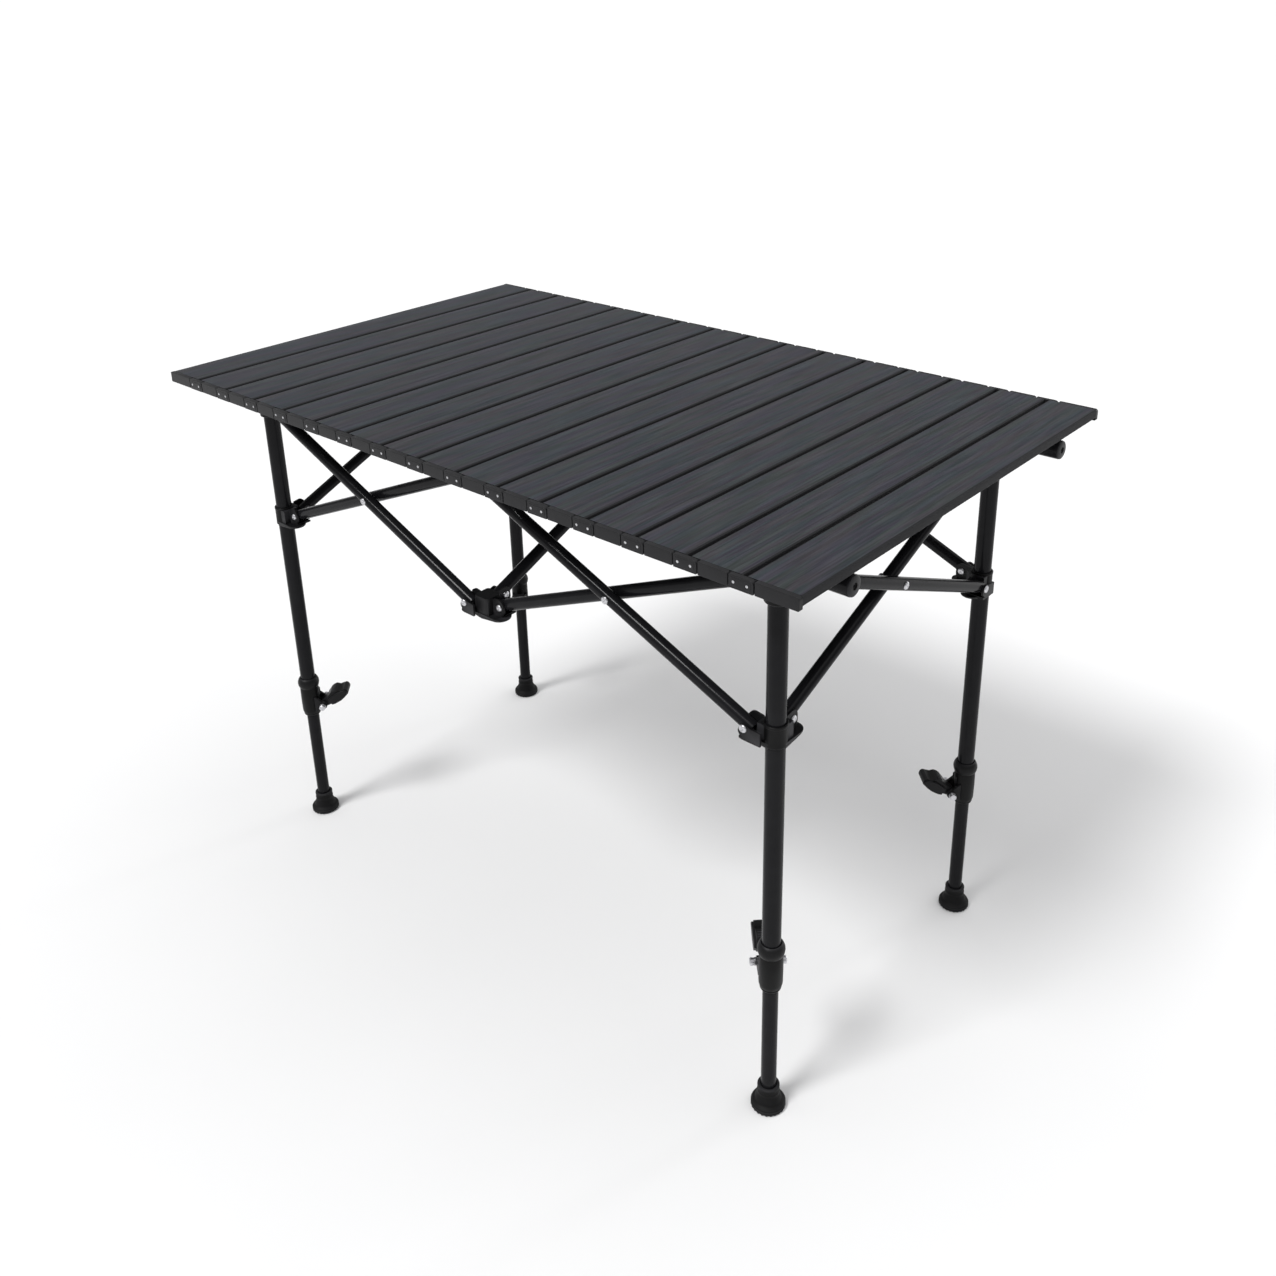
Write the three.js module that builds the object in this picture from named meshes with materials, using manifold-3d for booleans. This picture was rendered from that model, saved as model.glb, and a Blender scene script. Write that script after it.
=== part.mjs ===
// Roll-top folding side table: slatted top, two rails, scissor frame, four adjustable legs.
// Millimetres, +Z up. Origin on the floor under the middle of the top.
// X runs along the length, Y across the width, the front is at -Y.
import * as THREE from 'three';
import { mergeVertices } from 'three/addons/utils/BufferGeometryUtils.js';
import Module from 'manifold-3d';

const wasm = await Module();
wasm.setup();

// ---- driving dimensions -------------------------------------------------------------
const WIDTH = 550;             // across the slats
const HEIGHT = 646;            // floor to top surface
const SLATS = 16;
const PITCH = 57.8;            // slat to slat
const GAP = 3.5;               // open line between two slats
const SLAT_W = PITCH - GAP;
const SLAT_T = 12.5;
const WALL = 1.4;              // slat sheet thickness
const CLEAR = 0.3;             // gap between touching parts
const SIDES = 20;              // facets of the round tubes
const HUB_SIDES = 16;

const LEG_X = 384;             // leg axes
const LEG_Y = 194;
const REACH = 24;              // end pivot to hub axis
const REACH_MID = 20;          // the same on a centre hub, along the rows
const PIVOT_TOP = HEIGHT - 48; // height of the fixed pivots
const PIVOT_LOW = HEIGHT - 192;
const LATERAL = 7.5;           // bars of one unit lie side by side

const BAR_R = 7;
const BAR_BORE = 5.8;
const BAR_TAIL = 6;            // tube beyond its end pivot
const PIN_R = 2;
const HEAD_R = 4.2;
const HEAD_T = 1.6;

const UPPER_R = 9.5;           // upper leg tube
const UPPER_BORE = 8.4;
const LOWER_R = 8;             // lower leg tube
const LOWER_BORE = 6.8;
const LOWER_TOP = 330;
const COLLAR_LOW = 156;        // lower end of the lock collar
const COLLAR_H = 56;
const UPPER_END = 168;         // lower end of the upper tube, inside the collar
const LEVER_AXIS_Z = 172;
const LEVER_AXIS_R = 17.5;     // lever pin to leg axis
const FOOT_H = 28;

const RAIL_R = 10;
const RAIL_BORE = 8.8;
const RAIL_Z = HEIGHT - SLAT_T - CLEAR - RAIL_R;
const TOP_L = SLATS * PITCH - GAP;
const RAIL_L = TOP_L - 6;

const LOOK = {
  slat: { color: 0x35343a, roughness: 0.42, metalness: 0.85 },
  tube: { color: 0x151517, roughness: 0.24, metalness: 0.7 },
  hub: { color: 0x131314, roughness: 0.5, metalness: 0.0 },
  foot: { color: 0x101011, roughness: 0.75, metalness: 0.0 },
};

// ---- small tools ----------------------------------------------------------------------
function solid(geometry) {
  const bare = geometry.index ? geometry.toNonIndexed() : geometry.clone();
  bare.deleteAttribute('normal');
  bare.deleteAttribute('uv');
  const merged = mergeVertices(bare, 1e-4);
  return new wasm.Manifold(new wasm.Mesh({
    numProp: 3,
    vertProperties: new Float32Array(merged.attributes.position.array),
    triVerts: new Uint32Array(merged.index.array),
  }));
}

function join(...shapes) {
  return shapes.reduce((a, b) => a.add(b));
}

function block(x0, x1, y0, y1, z0, z1) {
  const g = new THREE.BoxGeometry(x1 - x0, y1 - y0, z1 - z0);
  g.translate((x0 + x1) / 2, (y0 + y1) / 2, (z0 + z1) / 2);
  return solid(g);
}

// Round body about Z from a list of [radius, height] points that closes on itself
// or starts and ends on the axis.
function turned(points, sides) {
  const g = new THREE.LatheGeometry(points.map(([r, z]) => new THREE.Vector2(r, z)), sides);
  g.rotateX(Math.PI / 2);
  return solid(g);
}

function rod(radius, z0, z1, sides) {
  return turned([[0, z0], [radius, z0], [radius, z1], [0, z1]], sides);
}

function pipe(radius, bore, z0, z1, sides) {
  return turned([[bore, z0], [radius, z0], [radius, z1], [bore, z1], [bore, z0]], sides);
}

function turn(shape, x, y, z) {
  return shape.rotate([x, y, z]);
}

function shift(shape, x, y, z) {
  return shape.translate([x, y, z]);
}

// Flat outline drawn in X and Z, given thickness along Y.
function plate(outline, y0, y1) {
  const shape = new THREE.Shape(outline.map(([x, z]) => new THREE.Vector2(x, z)));
  const g = new THREE.ExtrudeGeometry(shape, { depth: y1 - y0, bevelEnabled: false });
  g.rotateX(Math.PI / 2);
  g.translate(0, y1, 0);
  return solid(g);
}

function arc(cx, cz, r, from, to, steps) {
  return Array.from({ length: steps + 1 }, (_, i) => {
    const a = THREE.MathUtils.degToRad(from + ((to - from) * i) / steps);
    return [cx + r * Math.cos(a), cz + r * Math.sin(a)];
  });
}

function mesh(name, shape, look, at = [0, 0, 0], spin = [0, 0, 0]) {
  const data = shape.getMesh();
  const g = new THREE.BufferGeometry();
  g.setAttribute('position', new THREE.BufferAttribute(Float32Array.from(data.vertProperties), 3));
  g.setIndex(new THREE.BufferAttribute(Uint32Array.from(data.triVerts), 1));
  g.computeVertexNormals();
  const m = new THREE.Mesh(g, new THREE.MeshStandardMaterial(look));
  m.name = name;
  m.position.set(...at);
  m.rotation.set(...spin);
  return m;
}

const table = new THREE.Group();
table.name = 'folding_side_table';

// ---- slats ------------------------------------------------------------------------------
const HALF = SLAT_W / 2;
const EDGE_CUT = 1.2;          // small bevel along the top edges
const BELLY = 4;               // slanted lower corners, so a slat can swing on its neighbour
const LIP = 3;                 // sheet turned in along the underside
const PLATE_Y = WIDTH / 2 - 5; // outer face of the plate closing a slat
const PLATE_T = 2;
const CAP_X = 15.75;           // half length of an end cap
const LINK_HALF = 12.5;        // half length of a link
const PIN_IN = 4.5;            // link pin to the near edge of its slat
const PIN_Z = -SLAT_T / 2;
const LINK_PIN_R = 1.5;

// Plate that closes a slat's end, a little inside the channel's outline.
const INSET = 0.5;

function closingOutline() {
  const h = HALF - INSET;
  const low = INSET - SLAT_T;
  return [
    [-h, -INSET - EDGE_CUT], [-h + EDGE_CUT, -INSET], [h - EDGE_CUT, -INSET],
    [h, -INSET - EDGE_CUT], [h, low + BELLY], [h - BELLY, low], [BELLY - h, low],
    [-h, low + BELLY],
  ];
}

// Channel section, open along the middle of the underside.
function slatSection() {
  const right = [
    [HALF - EDGE_CUT, 0], [HALF, -EDGE_CUT], [HALF, BELLY - SLAT_T], [HALF - BELLY, -SLAT_T],
    [HALF - BELLY - LIP, -SLAT_T], [HALF - BELLY - LIP, WALL - SLAT_T],
    [HALF - BELLY - WALL / 2, WALL - SLAT_T], [HALF - WALL, BELLY - SLAT_T + WALL / 2],
    [HALF - WALL, -WALL],
  ];
  return [...right, ...right.map(([x, z]) => [-x, z]).reverse()];
}

function slatEnd(first, last) {
  const closing = plate(closingOutline(), PLATE_Y - PLATE_T, PLATE_Y);
  const left = first ? -HALF : -CAP_X;
  const right = last ? HALF : CAP_X;
  const cap = plate([
    [left, 0.2 - SLAT_T], [right, 0.2 - SLAT_T], [right, -0.2], [left, -0.2],
  ], PLATE_Y - 1, WIDTH / 2);
  let end = join(closing, cap);
  if (!first) {
    const pin = turn(rod(LINK_PIN_R, 0, 4.6, 6), -90, 0, 0);
    end = end.add(shift(pin, -HALF + PIN_IN, PLATE_Y - 0.4, PIN_Z));
  }
  if (!last) {
    const pinX = HALF + GAP + PIN_IN;
    const start = HALF + GAP / 2 - LINK_HALF;
    const reach = HALF + GAP / 2 + LINK_HALF - pinX;
    let link = plate([
      ...arc(pinX, PIN_Z, reach - 0.2, -90, 90, 4),
      [start, -0.4], [start, 0.4 - SLAT_T],
    ], PLATE_Y + CLEAR, WIDTH / 2);
    const root = block(start + 1, HALF - 0.6, PLATE_Y - 1, PLATE_Y + 1, PIN_Z - 4, PIN_Z + 4);
    const hole = turn(rod(LINK_PIN_R + CLEAR, -10, 10, 6), -90, 0, 0);
    link = link.subtract(shift(hole, pinX, PLATE_Y, PIN_Z));
    end = join(end, link, root);
  }
  return end;
}

function slatShape(first, last) {
  const channel = plate(slatSection(), -PLATE_Y + 1, PLATE_Y - 1);
  const back = slatEnd(first, last);
  const front = back.mirror([0, 1, 0]);
  return join(channel, back, front);
}

const firstSlat = slatShape(true, false);
const innerSlat = slatShape(false, false);
const lastSlat = slatShape(false, true);
for (let i = 0; i < SLATS; i += 1) {
  const shape = i === 0 ? firstSlat : i === SLATS - 1 ? lastSlat : innerSlat;
  const x = -TOP_L / 2 + HALF + i * PITCH;
  const name = `slat_${String(i + 1).padStart(2, '0')}`;
  table.add(mesh(name, shape, LOOK.slat, [x, 0, HEIGHT]));
}

// ---- rails --------------------------------------------------------------------------------
// Round tube with a plug in each end; the plugs have a small vent.
const PLUG_T = 6;
const VENT_R = 1.5;

function railShape() {
  const h = RAIL_L / 2;
  return turned([
    [VENT_R, -h], [RAIL_R, -h], [RAIL_R, h], [VENT_R, h], [VENT_R, h - PLUG_T],
    [RAIL_BORE, h - PLUG_T], [RAIL_BORE, PLUG_T - h], [VENT_R, PLUG_T - h], [VENT_R, -h],
  ], 20);
}

const rail = turn(railShape(), 0, 90, 0);
table.add(mesh('rail_front', rail, LOOK.tube, [0, -LEG_Y, RAIL_Z]));
table.add(mesh('rail_back', rail, LOOK.tube, [0, LEG_Y, RAIL_Z]));

// ---- hubs ----------------------------------------------------------------------------------
// An arm is a fork round the end of one bar, with the bar's pin across it.
// It reaches along +X from the hub axis and is then swung round and moved sideways.
const CHEEK = 2.4;
const FORK_IN = BAR_R + 0.5;   // half the space between the cheeks
const FORK_OUT = FORK_IN + CHEEK;
const ARM_NOSE = 9.5;          // arm beyond its pin
const ARM_DEPTH = 12.2;        // arm on its closed side of the pin
const ARM_OPEN = 8;            // arm on its open side of the pin
const FORK_START = 15.2;       // cheeks start here, clear of the bar in the next arm round
const TAIL_SWEEP = 9.8;        // room swept by a bar's tail, measured back from its pin
const NECK_W = 10;             // half width of the neck

function arm(reach, side, closedBelow) {
  const nose = arc(reach, 0, ARM_NOSE, -60, 60, 3);
  const outline = [[FORK_START, -ARM_DEPTH], ...nose, [FORK_START, ARM_OPEN]];
  const fork = plate(outline, LATERAL - FORK_OUT, LATERAL + FORK_OUT);
  const slot = block(0, reach + 30, LATERAL - FORK_IN, LATERAL + FORK_IN, CHEEK - ARM_DEPTH, 30);
  const mouth = block(reach, reach + 30, LATERAL - FORK_IN, LATERAL + FORK_IN, -30, 30);
  const pin = turn(rod(PIN_R, -FORK_OUT - 1, FORK_OUT + 1, 6), 90, 0, 0);
  // The neck and the two webs join the fork to the hub and leave room for the bars' tails.
  const neckEnd = reach - TAIL_SWEEP;
  const neck = block(2, neckEnd, -NECK_W, NECK_W, 1 - ARM_DEPTH, ARM_OPEN - 1);
  const webX = [neckEnd - 2, FORK_START + 1];
  const webY = LATERAL - FORK_OUT + 0.2;
  const web = block(...webX, webY, webY + CHEEK - 0.4, 0.5 - ARM_DEPTH, ARM_OPEN - 0.5);
  const sole = block(...webX, webY, NECK_W - 0.5, 0.5 - ARM_DEPTH, CHEEK - ARM_DEPTH - 0.2);
  let shape = join(
    fork.subtract(join(slot, mouth)), shift(pin, reach, LATERAL, 0), neck, web, sole,
  );
  if (!closedBelow) {
    shape = shape.mirror([0, 0, 1]);
  }
  return side > 0 ? shape : shape.mirror([0, 1, 0]);
}

// Heading of an arm in degrees: 0 is +X, 90 is +Y. "side" is the sideways offset of its
// bar in the table's own axes: along Y for arms on a row, along X for arms across.
function placedArm(reach, heading, side, closedBelow) {
  const flip = heading === 0 || heading === 270 ? 1 : -1;
  return turn(arm(reach, side * flip, closedBelow), 0, 0, heading);
}

// The six uprights of the frame: four legs, and a pair of loose hubs in the middle of each row.
const STATIONS = {
  front_left: { x: -LEG_X, y: -LEG_Y, leg: true },
  front_centre: { x: 0, y: -LEG_Y, leg: false },
  front_right: { x: LEG_X, y: -LEG_Y, leg: true },
  back_left: { x: -LEG_X, y: LEG_Y, leg: true },
  back_centre: { x: 0, y: LEG_Y, leg: false },
  back_right: { x: LEG_X, y: LEG_Y, leg: true },
};

// Each unit: two stations, and the sideways sign of the bar that falls from a to b.
const UNITS = [
  { name: 'front_left', a: 'front_left', b: 'front_centre', along: 'x', side: -1 },
  { name: 'front_right', a: 'front_centre', b: 'front_right', along: 'x', side: -1 },
  { name: 'back_left', a: 'back_left', b: 'back_centre', along: 'x', side: 1 },
  { name: 'back_right', a: 'back_centre', b: 'back_right', along: 'x', side: 1 },
  { name: 'side_left', a: 'front_left', b: 'back_left', along: 'y', side: -1 },
  { name: 'side_centre', a: 'front_centre', b: 'back_centre', along: 'y', side: 1 },
  { name: 'side_right', a: 'front_right', b: 'back_right', along: 'y', side: 1 },
];

function reachOf(station, along) {
  return !STATIONS[station].leg && along === 'x' ? REACH_MID : REACH;
}

// All arms of one hub, drawn round its pivot height.
function hubArms(station, top) {
  const arms = [];
  for (const unit of UNITS) {
    const isA = unit.a === station;
    if (isA || unit.b === station) {
      const ahead = unit.along === 'x' ? 0 : 90;
      const heading = isA ? ahead : ahead + 180;
      const side = isA === top ? unit.side : -unit.side;
      arms.push(placedArm(reachOf(station, unit.along), heading, side, !top));
    }
  }
  return join(...arms);
}

// Saddle under a rail. It reaches almost up to the rail's middle.
const CRADLE_LOW = PIVOT_TOP + TAIL_SWEEP;
const CRADLE_TOP = RAIL_Z - 2;
const CRADLE_W = 13;           // half width, across the rail
const CRADLE_L = 17;           // half length, along the rail

function cradle(low) {
  const bed = block(-CRADLE_L, CRADLE_L, -CRADLE_W, CRADLE_W, low, CRADLE_TOP);
  const groove = turn(rod(RAIL_R + CLEAR, -60, 60, 16), 0, 90, 0);
  return bed.subtract(shift(groove, 0, 0, RAIL_Z));
}

// ---- legs -------------------------------------------------------------------------------------
const HUB_R = 13;
const HUB_HALF = 13;           // half height of the hub on top of a leg
const HUB_ROOF = 4;            // closed end over the upper tube
const TUBE_TOP = PIVOT_TOP + HUB_HALF;

// Top hub with its cradle, and the upper tube pressed into it.
function legUpper(station) {
  const body = rod(HUB_R, PIVOT_TOP - HUB_HALF, TUBE_TOP, HUB_SIDES);
  const arms = shift(hubArms(station, true), 0, 0, PIVOT_TOP);
  const tube = pipe(UPPER_R, UPPER_BORE, UPPER_END, TUBE_TOP - HUB_ROOF, SIDES);
  const bore = rod(UPPER_BORE, UPPER_END - 5, TUBE_TOP - HUB_ROOF, SIDES);
  return join(join(body, arms, cradle(CRADLE_LOW)).subtract(bore), tube);
}

const SLIDER_R = 13;
const SLIDER_LOW = -12;        // ends of its sleeve, from the pivot height
const SLIDER_TOP = 9;
const SLIDER_CLEAR = 0.4;

// Hub that slides on the upper tube.
function sliderHub(station) {
  const body = turned([
    [0, SLIDER_LOW], [SLIDER_R - 1.5, SLIDER_LOW], [SLIDER_R, SLIDER_LOW + 1.5],
    [SLIDER_R, SLIDER_TOP], [0, SLIDER_TOP],
  ], HUB_SIDES);
  const bore = rod(UPPER_R + SLIDER_CLEAR, -40, 40, SIDES);
  return join(body, hubArms(station, false)).subtract(bore);
}

const MID_HALF = 10;           // centre hub block: half width and half height
const MID_H = 11;

function centreHub(station, top) {
  const body = block(-MID_HALF, MID_HALF, -MID_HALF, MID_HALF, -MID_H, MID_H);
  const hub = join(body, hubArms(station, top));
  return top ? join(hub, shift(cradle(CRADLE_LOW), 0, 0, -PIVOT_TOP)) : hub;
}

// Lock collar: flared rim, waisted barrel, two lugs for the lever pin.
// The lever side is drawn towards +X and turned to face the middle of the table.
const LUG_Y = 7.6;             // inner face of a lug
const LUG_T = 4;
const COLLAR_R = 12;
const COLLAR_STEP = 11.5;      // the bore widens here, from the lower to the upper tube
const LEVER_PIN_R = 2.6;
const PIN_KNOB_R = 4;          // thick ends of the lever pin
const PIN_KNOB_Y = LUG_Y + 2;
const PIN_END = 18.5;

function collarShape() {
  const z = (h) => COLLAR_LOW + h;
  const barrel = turned([
    [LOWER_R + CLEAR, z(0)], [COLLAR_R - 2.4, z(0)], [COLLAR_R, z(6)], [COLLAR_R, z(41)],
    [COLLAR_R + 2, z(46)], [COLLAR_R + 2, z(50)], [COLLAR_R - 0.4, z(COLLAR_H)],
    [UPPER_R + CLEAR, z(COLLAR_H)], [UPPER_R + CLEAR, z(COLLAR_STEP)],
    [LOWER_R + CLEAR, z(COLLAR_STEP)],
    [LOWER_R + CLEAR, z(0)],
  ], HUB_SIDES);
  const lug = plate([
    [2, LEVER_AXIS_Z - 9], ...arc(LEVER_AXIS_R, LEVER_AXIS_Z, 5.5, -80, 80, 4),
    [2, LEVER_AXIS_Z + 13],
  ], LUG_Y, LUG_Y + LUG_T);
  const pin = turn(turned([
    [0, -PIN_END], [PIN_KNOB_R, -PIN_END], [PIN_KNOB_R, -PIN_KNOB_Y],
    [LEVER_PIN_R, -PIN_KNOB_Y], [LEVER_PIN_R, PIN_KNOB_Y], [PIN_KNOB_R, PIN_KNOB_Y],
    [PIN_KNOB_R, PIN_END], [0, PIN_END],
  ], 8), 90, 0, 0);
  const wide = rod(UPPER_R + CLEAR, z(COLLAR_STEP), z(90), SIDES);
  const narrow = rod(LOWER_R + CLEAR, z(-5), z(90), SIDES);
  const both = join(lug, lug.mirror([0, 1, 0]), shift(pin, LEVER_AXIS_R, 0, LEVER_AXIS_Z));
  return join(barrel, both.subtract(join(wide, narrow)));
}

// Flip lever: narrow root on the pin, wide body with a two-lobed tip, leaning up.
const ROOT_W = 6.9;            // half widths of the root and the body
const BODY_W = 13;
const LEVER_TILT = 33;         // degrees above level

function leverShape() {
  const root = plate([...arc(0, 0, 4.7, 100, 260, 4), [16, -7], [16, 6]], -ROOT_W, ROOT_W);
  const body = plate([
    [11, -7.5], [24, -8.5], [33, -6.5], ...arc(35, -1, 5, -40, 70, 2), [31, 4],
    [26, 9], [20, 9], [11, 6],
  ], -BODY_W, BODY_W);
  const hole = turn(rod(LEVER_PIN_R + CLEAR, -30, 30, 8), 90, 0, 0);
  return turn(join(root, body).subtract(hole), 0, -LEVER_TILT, 0);
}

// Foot: neck over the tube, stepped round base. The lower tube stands in it.
const FOOT_FLOOR = 8;
const FIT = 0.1;

const lowerTube = pipe(LOWER_R, LOWER_BORE, FOOT_FLOOR + FIT, LOWER_TOP, SIDES);
const foot = turned([
  [0, 0], [16.5, 0], [18, 2], [18, 6], [14.5, 9], [11.4, 15], [11, FOOT_H],
  [LOWER_R + FIT, FOOT_H], [LOWER_R + FIT, FOOT_FLOOR], [0, FOOT_FLOOR],
], SIDES);

for (const [name, station] of Object.entries(STATIONS)) {
  const { x, y, leg } = station;
  if (leg) {
    const inward = Math.atan2(-Math.sign(y), -Math.sign(x));
    table.add(mesh(`leg_upper_${name}`, legUpper(name), LOOK.tube, [x, y, 0]));
    table.add(mesh(`hub_slider_${name}`, sliderHub(name), LOOK.hub, [x, y, PIVOT_LOW]));
    table.add(mesh(`leg_lower_${name}`, lowerTube, LOOK.tube, [x, y, 0]));
    table.add(mesh(`foot_${name}`, foot, LOOK.foot, [x, y, 0]));
    table.add(mesh(`lock_collar_${name}`, collarShape(), LOOK.hub, [x, y, 0], [0, 0, inward]));
    const pinX = x + LEVER_AXIS_R * Math.cos(inward);
    const pinY = y + LEVER_AXIS_R * Math.sin(inward);
    const pinAt = [pinX, pinY, LEVER_AXIS_Z];
    table.add(mesh(`lock_lever_${name}`, leverShape(), LOOK.hub, pinAt, [0, 0, inward]));
  } else {
    table.add(mesh(`hub_top_${name}`, centreHub(name, true), LOOK.hub, [x, y, PIVOT_TOP]));
    table.add(mesh(`hub_low_${name}`, centreHub(name, false), LOOK.hub, [x, y, PIVOT_LOW]));
  }
}

// ---- scissor bars --------------------------------------------------------------------------------
// Drawn along Z with the cross pins along Y, then laid between its two pivots.
const SPAN = LEG_X - REACH - REACH_MID;
const DROP = PIVOT_TOP - PIVOT_LOW;
const BAR_L = Math.hypot(SPAN, DROP);

function barShape(withRivet) {
  const end = BAR_L / 2 + BAR_TAIL;
  const drill = turn(rod(PIN_R + CLEAR, -20, 20, 6), 90, 0, 0);
  let bar = pipe(BAR_R, BAR_BORE, -end, end, 12);
  bar = bar.subtract(join(shift(drill, 0, 0, BAR_L / 2), shift(drill, 0, 0, -BAR_L / 2)));
  if (!withRivet) {
    return bar.subtract(drill);
  }
  const far = 2 * LATERAL + BAR_R + CLEAR;
  const shank = turn(rod(PIN_R, -BAR_R - 0.4, far + 0.4, 6), -90, 0, 0);
  const head = turn(rod(HEAD_R, 0, HEAD_T, 8), -90, 0, 0);
  return join(bar, shank, shift(head, 0, far, 0), shift(head, 0, -BAR_R - HEAD_T + 0.4, 0));
}

const riveted = barShape(true);
const drilled = barShape(false);

function addBars(unit) {
  const a = STATIONS[unit.a];
  const b = STATIONS[unit.b];
  const mid = [(a.x + b.x) / 2, (a.y + b.y) / 2, (PIVOT_TOP + PIVOT_LOW) / 2];
  const lean = Math.atan2(SPAN, DROP);
  for (const falling of [true, false]) {
    const side = falling ? unit.side : -unit.side;
    const at = [...mid];
    const along = unit.along === 'x' ? 0 : 1;
    at[along] += (reachOf(unit.a, unit.along) - reachOf(unit.b, unit.along)) / 2;
    at[1 - along] += side * LATERAL;
    // The rivet belongs to the outer bar of the unit; its shank points at the other bar.
    const holder = new THREE.Group();
    holder.position.set(...at);
    holder.rotation.z = unit.along === 'x' ? 0 : Math.PI / 2;
    // Turned by 90 degrees, the bar's own sideways direction becomes -X.
    const sideways = unit.along === 'x' ? side : -side;
    const shape = falling ? riveted : drilled;
    const bar = mesh(`bar_${unit.name}_${falling ? 'falling' : 'rising'}`, shape, LOOK.tube);
    const flip = falling && sideways > 0 ? Math.PI : 0;
    bar.rotation.set(0, falling ? -lean : lean, flip, 'YXZ');
    holder.add(bar);
    table.add(holder);
  }
}

UNITS.forEach(addBars);

export default table;
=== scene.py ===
# Looks of the folding side table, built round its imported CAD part. Metres, +Z up.
import math

import bmesh
import bpy
from mathutils import Matrix, Vector


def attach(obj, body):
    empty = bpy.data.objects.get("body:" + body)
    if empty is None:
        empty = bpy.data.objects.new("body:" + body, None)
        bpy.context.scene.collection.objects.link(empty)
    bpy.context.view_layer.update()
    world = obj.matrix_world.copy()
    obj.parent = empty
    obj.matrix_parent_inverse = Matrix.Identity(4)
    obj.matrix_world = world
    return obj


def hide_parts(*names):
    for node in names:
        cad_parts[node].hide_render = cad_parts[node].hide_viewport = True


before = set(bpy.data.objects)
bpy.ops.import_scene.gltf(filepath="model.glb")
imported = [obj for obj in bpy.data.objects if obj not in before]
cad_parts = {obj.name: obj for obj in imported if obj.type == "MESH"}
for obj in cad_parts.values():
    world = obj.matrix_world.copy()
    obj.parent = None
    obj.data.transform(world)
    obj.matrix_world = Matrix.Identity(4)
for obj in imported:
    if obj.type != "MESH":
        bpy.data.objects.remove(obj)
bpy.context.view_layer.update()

MM = 0.001

# ---- sizes, in millimetres, as in the CAD part --------------------------------------------------
WIDTH = 550.0
HEIGHT = 646.0
SLATS = 16
PITCH = 57.8
GAP = 3.5
SLAT_W = PITCH - GAP
HALF = SLAT_W / 2
SLAT_T = 12.5
TOP_L = SLATS * PITCH - GAP
LEG_X, LEG_Y = 384.0, 194.0
REACH, REACH_MID = 24.0, 20.0
PIVOT_TOP, PIVOT_LOW = HEIGHT - 48, HEIGHT - 192
LATERAL = 7.5
BAR_R = 7.0
UPPER_R, LOWER_R = 9.5, 8.0
COLLAR_LOW = 156.0
RAIL_R = 10.0
RAIL_Z = HEIGHT - SLAT_T - 0.3 - RAIL_R
LEVER_Z, LEVER_OUT = 172.0, 17.5
LEVER_RISE = 33.0           # degrees above level, when locked
TUBE_TOP = 330.0            # top end of a lower tube, inside the upper one
FOOT_RIBS = 24

# ---- camera -------------------------------------------------------------------------------------
cam = bpy.data.cameras.new("camera")
cam.lens = 35.78
cam.sensor_width = 36.0
cam.shift_x = -0.0103
cam.shift_y = -0.1333
cam.clip_start = 0.05
camera = bpy.data.objects.new("camera", cam)
bpy.context.scene.collection.objects.link(camera)
camera.location = (0.9464, -0.9882, 1.1027)
AZ, EL, ROLL = math.radians(41.626), math.radians(22.071), math.radians(-1.192)
back = Vector((math.sin(AZ) * math.cos(EL), -math.cos(AZ) * math.cos(EL), math.sin(EL)))
right = Vector((0, 0, 1)).cross(back).normalized()
up = back.cross(right)
rolled_right = math.cos(ROLL) * right + math.sin(ROLL) * up
rolled_up = math.cos(ROLL) * up - math.sin(ROLL) * right
camera.rotation_mode = "QUATERNION"
camera.rotation_quaternion = Matrix((rolled_right, rolled_up, back)).transposed().to_quaternion()
bpy.context.scene.camera = camera


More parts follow.
